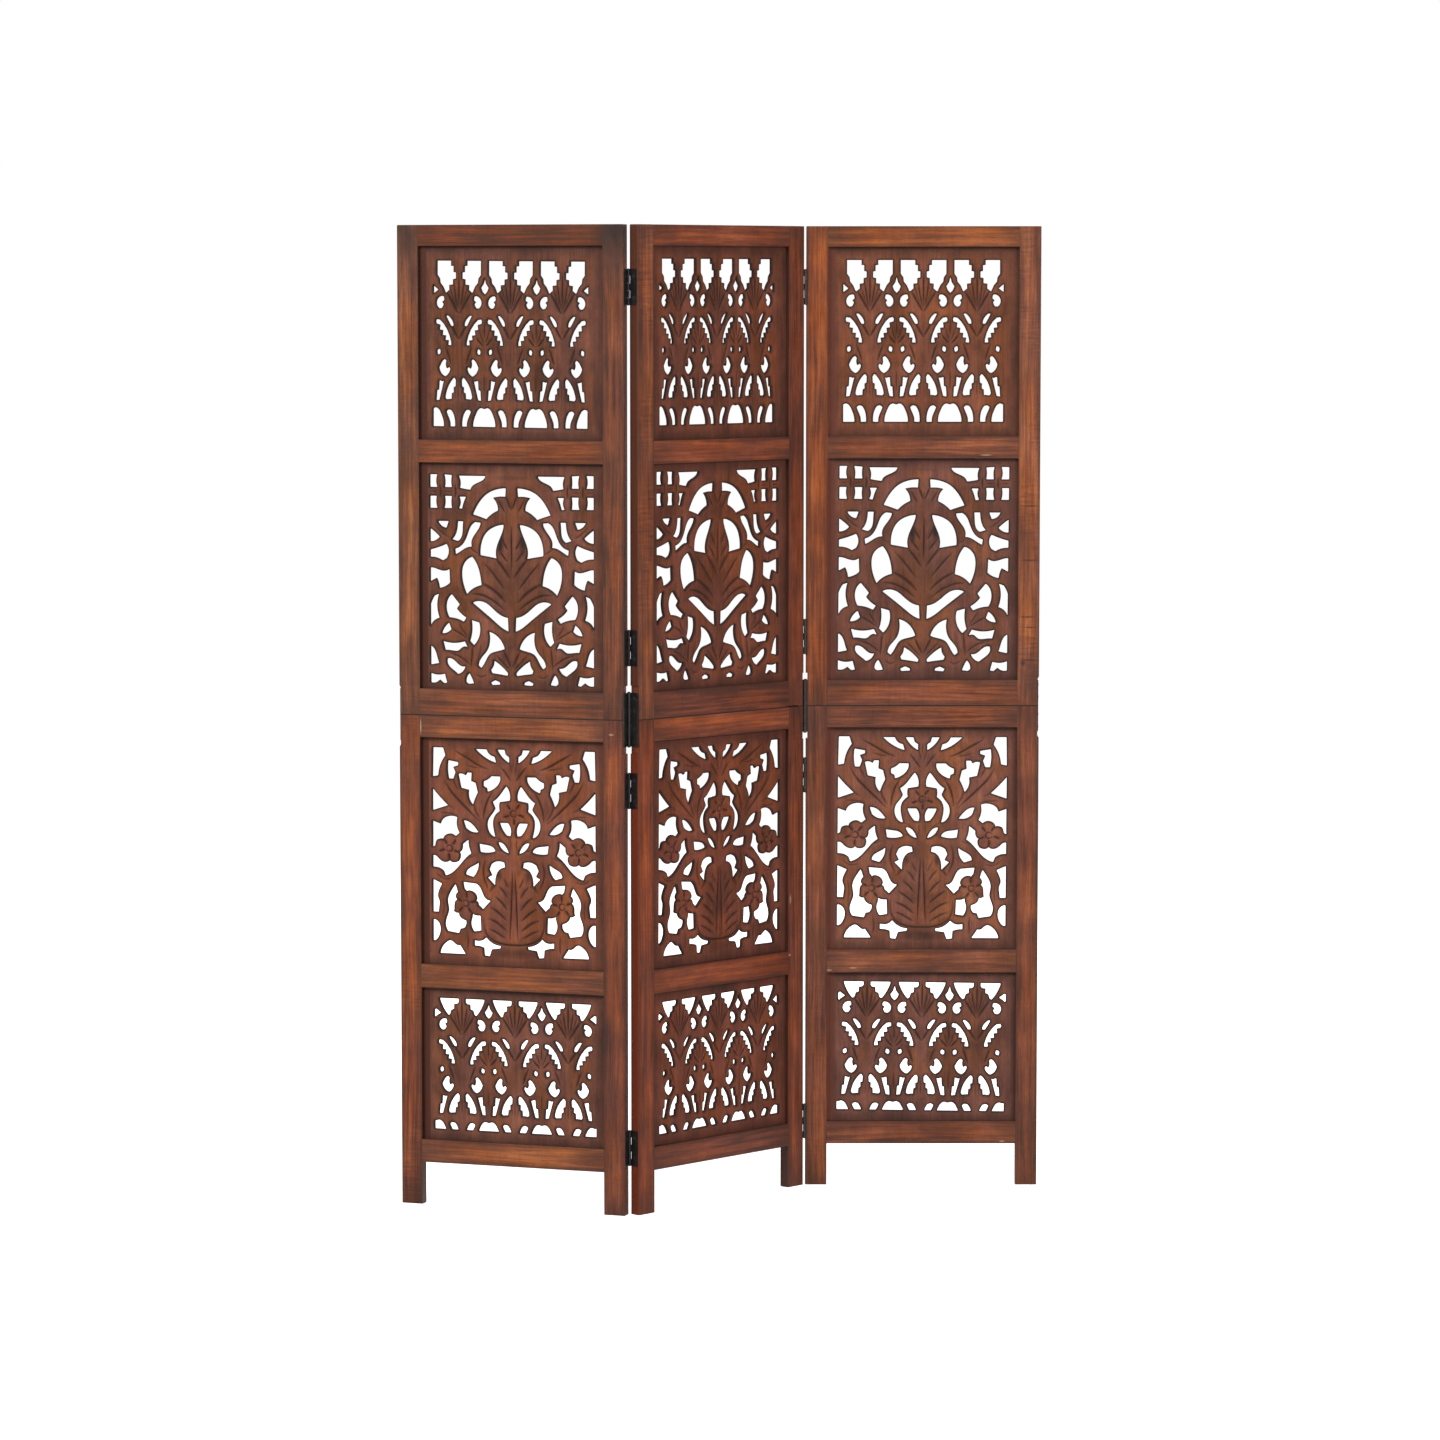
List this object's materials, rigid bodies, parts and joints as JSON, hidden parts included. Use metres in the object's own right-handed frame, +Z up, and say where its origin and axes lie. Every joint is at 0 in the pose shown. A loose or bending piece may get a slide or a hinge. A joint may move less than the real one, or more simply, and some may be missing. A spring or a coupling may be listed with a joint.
{
  "type": "folding screen",
  "caption": "Folding room screen: framed wooden panels with pierced, carved floral inserts, each an upper frame on a lower frame with legs, joined edge to edge by butt hinges.",
  "frame": {"origin": "on the floor, under the centre of the box round the standing screen", "axes": "+Z up, +X to the right as seen from the front, the front looks along -Y"},
  "size_m": [1.0856, 0.312, 1.65],
  "materials": {
    "frame_wood": "stained reddish brown with a satin lacquer, darker at edges and corners",
    "carved_wood": "stained reddish brown with a satin lacquer, grey-brown in the cuts",
    "hinge_metal": "black paint, satin and slightly worn",
    "screw_metal": "black paint, satin, worn at the slots"
  },
  "bodies": {
    "left_panel": {"left_panel_upper_left_stile": "frame_wood", "left_panel_upper_right_stile": "frame_wood", "left_panel_top_rail": "frame_wood", "left_panel_upper_middle_rail": "frame_wood", "left_panel_upper_foot_rail": "frame_wood", "left_panel_lower_left_stile": "frame_wood", "left_panel_lower_right_stile": "frame_wood", "left_panel_lower_head_rail": "frame_wood", "left_panel_lower_middle_rail": "frame_wood", "left_panel_bottom_rail": "frame_wood", "left_panel_upper_lotus_insert": "carved_wood", "left_panel_leaf_insert": "carved_wood", "left_panel_vase_insert": "carved_wood", "left_panel_lower_lotus_insert": "carved_wood", "left_panel_screws": "screw_metal", "left_joint_leaves_on_left_panel": "hinge_metal", "left_joint_centre_leaf_on_left_panel": "hinge_metal", "left_splice_plate": "hinge_metal"},
    "middle_panel": {"middle_panel_upper_left_stile": "frame_wood", "middle_panel_upper_right_stile": "frame_wood", "middle_panel_top_rail": "frame_wood", "middle_panel_upper_middle_rail": "frame_wood", "middle_panel_upper_foot_rail": "frame_wood", "middle_panel_lower_left_stile": "frame_wood", "middle_panel_lower_right_stile": "frame_wood", "middle_panel_lower_head_rail": "frame_wood", "middle_panel_lower_middle_rail": "frame_wood", "middle_panel_bottom_rail": "frame_wood", "middle_panel_upper_lotus_insert": "carved_wood", "middle_panel_leaf_insert": "carved_wood", "middle_panel_vase_insert": "carved_wood", "middle_panel_lower_lotus_insert": "carved_wood", "middle_panel_screws": "screw_metal", "left_joint_leaves_on_middle_panel": "hinge_metal", "left_joint_centre_leaf_on_middle_panel": "hinge_metal", "right_joint_leaves_on_middle_panel": "hinge_metal", "right_joint_centre_leaf_on_middle_panel": "hinge_metal", "left_joint_pins": "hinge_metal", "left_joint_centre_pin": "hinge_metal", "right_joint_pins": "hinge_metal", "right_joint_centre_pin": "hinge_metal"},
    "right_panel": {"right_panel_upper_left_stile": "frame_wood", "right_panel_upper_right_stile": "frame_wood", "right_panel_top_rail": "frame_wood", "right_panel_upper_middle_rail": "frame_wood", "right_panel_upper_foot_rail": "frame_wood", "right_panel_lower_left_stile": "frame_wood", "right_panel_lower_right_stile": "frame_wood", "right_panel_lower_head_rail": "frame_wood", "right_panel_lower_middle_rail": "frame_wood", "right_panel_bottom_rail": "frame_wood", "right_panel_upper_lotus_insert": "carved_wood", "right_panel_leaf_insert": "carved_wood", "right_panel_vase_insert": "carved_wood", "right_panel_lower_lotus_insert": "carved_wood", "right_panel_screws": "screw_metal", "right_joint_leaves_on_right_panel": "hinge_metal", "right_joint_centre_leaf_on_right_panel": "hinge_metal", "right_splice_plate": "hinge_metal"}
  },
  "joints": [
    {"name": "left_fold", "type": "hinge", "parent": "middle_panel", "child": "left_panel", "pos_m": [-0.15528, -0.13724, 0], "axis": [0, 0, 1], "range_deg": [-116.3, 63.7]},
    {"name": "right_fold", "type": "hinge", "parent": "middle_panel", "child": "right_panel", "pos_m": [0.14158, 0.13546, 0], "axis": [0, 0, 1], "range_deg": [-134.3, 45.7]}
  ]
}
